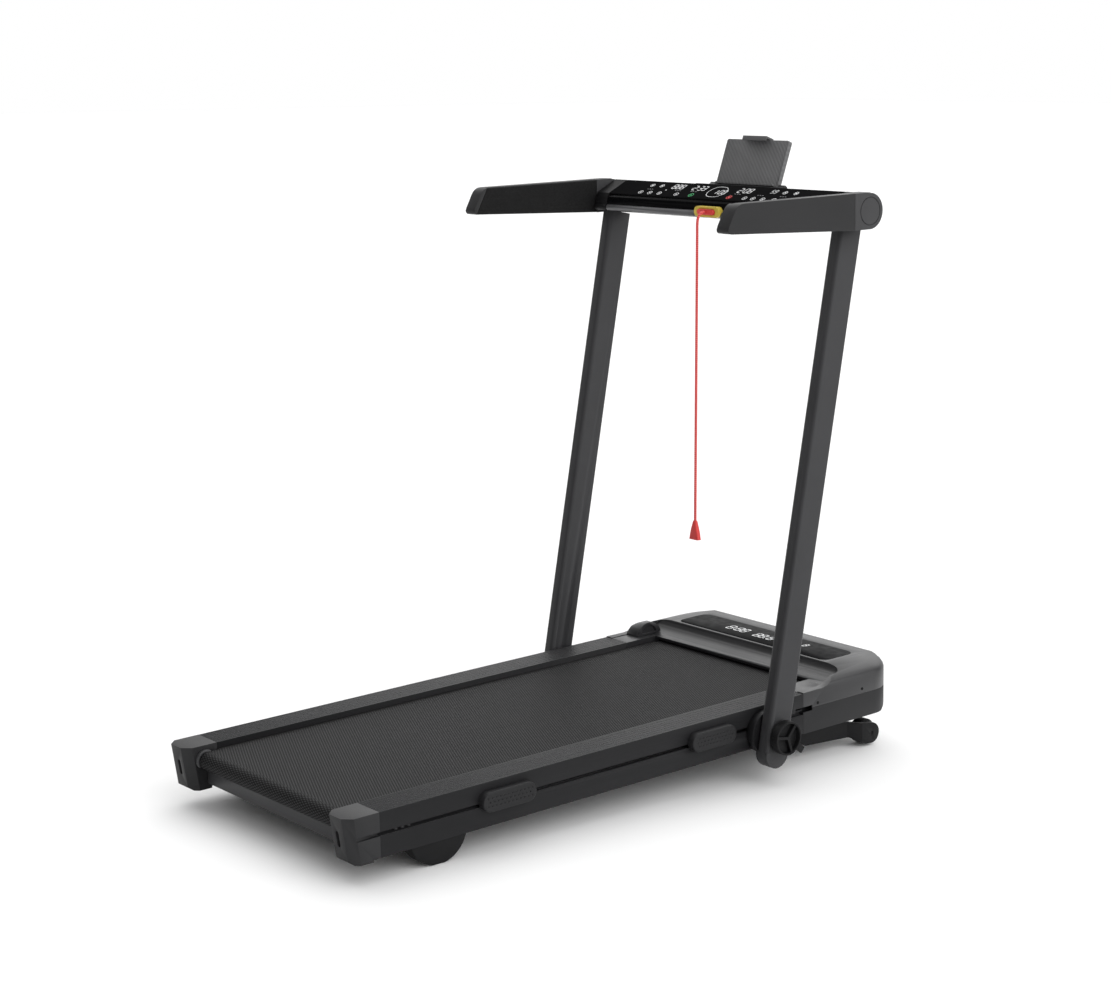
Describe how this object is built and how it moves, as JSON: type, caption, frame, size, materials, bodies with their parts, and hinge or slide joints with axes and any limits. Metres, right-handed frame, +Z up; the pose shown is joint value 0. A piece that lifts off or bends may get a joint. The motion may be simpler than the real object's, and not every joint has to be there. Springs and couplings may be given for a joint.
{
  "type": "treadmill",
  "caption": "Slim home treadmill: low motorised running deck, folding uprights, touch console with long handrails, tablet holder and a corded safety key.",
  "frame": {"origin": "centre of the bounding box footprint, on the floor", "axes": "+Z up, +Y towards the motor end, +X to the right of a person who faces the console"},
  "size_m": [0.7966, 1.3954, 1.255],
  "materials": {
    "aluminium_rail": "anodised black, satin",
    "moulded_black": "fine matt grain",
    "cover_charcoal": "fine matt grain",
    "gloss_black": "polished",
    "belt_weave": "woven top, matt",
    "board_wood": "waxed fibreboard",
    "guard_grey": "satin",
    "steel": "turned",
    "dark_steel": "powder coat",
    "frame_paint": "satin powder coat",
    "rail_plastic": "satin",
    "housing_grey": "satin",
    "bar_grey": "satin",
    "leather_grip": "embossed grain",
    "tablet_grey": "fine diagonal ribs",
    "rubber_black": "matt",
    "key_yellow": "satin",
    "key_red": "satin",
    "cord_red": "braided"
  },
  "bodies": {
    "deck": {"side_rail_right": "aluminium_rail", "side_rail_left": "aluminium_rail", "rear_cap_right": "moulded_black", "rear_cap_left": "moulded_black", "roller_guard_right": "guard_grey", "roller_guard_left": "guard_grey", "rear_crossbar": "dark_steel", "crossmember_1": "dark_steel", "crossmember_2": "dark_steel", "deck_board": "board_wood", "running_belt": "belt_weave", "rear_shaft": "steel", "motor_frame": "dark_steel", "drive_belt": "rubber_black", "motor_controller": "steel", "motor_cover": "cover_charcoal", "display_window": "gloss_black", "base_pan": "moulded_black", "lift_grip": "cover_charcoal", "power_inlet": "moulded_black", "rear_foot_right": "moulded_black", "rear_foot_left": "moulded_black", "wheel_arm_right": "moulded_black", "wheel_arm_left": "moulded_black", "side_pad_rear_right": "rubber_black", "side_pad_rear_left": "rubber_black", "side_pad_front_right": "rubber_black", "side_pad_front_left": "rubber_black", "fold_pivot_right": "dark_steel", "fold_pivot_left": "dark_steel", "motor": "dark_steel"},
    "uprights": {"upright_left": "frame_paint", "upright_right": "frame_paint", "upright_head_left": "housing_grey", "upright_head_right": "housing_grey", "console_shaft": "steel", "pivot_cap": "moulded_black"},
    "console": {"console_shell": "gloss_black", "console_bar": "bar_grey", "console_panel": "gloss_black", "key_socket": "key_yellow", "handrail_left": "rail_plastic", "handrail_right": "rail_plastic", "grip_pad_left": "leather_grip", "grip_pad_right": "leather_grip", "handrail_housing_left": "housing_grey", "handrail_housing_right": "housing_grey", "tablet_bracket": "moulded_black"},
    "tablet_holder": {"tablet_plate": "tablet_grey"},
    "tablet_clamp": {"tablet_clip": "housing_grey"},
    "key": {"safety_key": "key_red", "safety_cord": "cord_red", "cord_clip": "key_red"},
    "knob": {"lock_knob": "moulded_black"},
    "wheel_left": {"transport_wheel_left": "rubber_black"},
    "wheel_right": {"transport_wheel_right": "rubber_black"},
    "roller_rear": {"rear_roller": "steel"},
    "roller_front": {"front_roller": "steel"},
    "pulley": {"motor_pulley": "steel"},
    "rocker": {"power_switch": "key_red"}
  },
  "joints": [
    {"name": "upright_fold", "type": "hinge", "parent": "deck", "child": "uprights", "pos_m": [0, 0.29819, 0.09659], "axis": [1, 0, 0], "range_deg": [0, 96], "deforming": ["safety_cord", "cord_clip"]},
    {"name": "console_fold", "type": "hinge", "parent": "uprights", "child": "console", "pos_m": [0, 0.482, 1.12102], "axis": [1, 0, 0], "range_deg": [0, 78.5], "deforming": ["safety_cord", "cord_clip"]},
    {"name": "tablet_tilt", "type": "hinge", "parent": "console", "child": "tablet_holder", "pos_m": [0, 0.53833, 1.15131], "axis": [1, 0, 0], "range_deg": [-15, 40]},
    {"name": "tablet_clip_slide", "type": "slide", "parent": "tablet_holder", "child": "tablet_clamp", "axis": [0, 0.3371, 0.9415], "range_m": [0, 0.03], "stiffness_N_per_m": 200, "springref_m": -0.01},
    {"name": "safety_key_pull", "type": "slide", "parent": "console", "child": "key", "axis": [0, 0.9997, 0.0227], "range_m": [-0.02, 0], "deforming": ["safety_cord", "cord_clip"]},
    {"name": "lock_knob_turn", "type": "hinge", "parent": "uprights", "child": "knob", "pos_m": [0, 0.29819, 0.09659], "axis": [1, 0, 0], "range_deg": [0, 90]},
    {"name": "wheel_left_spin", "type": "hinge", "parent": "deck", "child": "wheel_left", "pos_m": [-0.2695, 0.62688, 0.026], "axis": [1, 0, 0], "continuous": true},
    {"name": "wheel_right_spin", "type": "hinge", "parent": "deck", "child": "wheel_right", "pos_m": [0.2695, 0.62688, 0.026], "axis": [1, 0, 0], "continuous": true},
    {"name": "front_roller_spin", "type": "hinge", "parent": "deck", "child": "roller_front", "pos_m": [0, 0.52461, 0.12493], "axis": [1, 0, 0], "continuous": true},
    {"name": "rear_roller_spin", "type": "hinge", "parent": "deck", "child": "roller_rear", "pos_m": [0, -0.65509, 0.09816], "axis": [1, 0, 0], "continuous": true},
    {"name": "motor_spin", "type": "hinge", "parent": "deck", "child": "pulley", "pos_m": [0, 0.59478, 0.11832], "axis": [1, 0, 0], "continuous": true},
    {"name": "power_rocker", "type": "hinge", "parent": "deck", "child": "rocker", "pos_m": [-0.18, 0.68912, 0.10446], "axis": [1, 0, 0], "range_deg": [0, 12]}
  ],
  "couplings": [
    {"joint": "rear_roller_spin", "follows": "front_roller_spin", "ratio": 1},
    {"joint": "motor_spin", "follows": "front_roller_spin", "ratio": 1.6364}
  ]
}
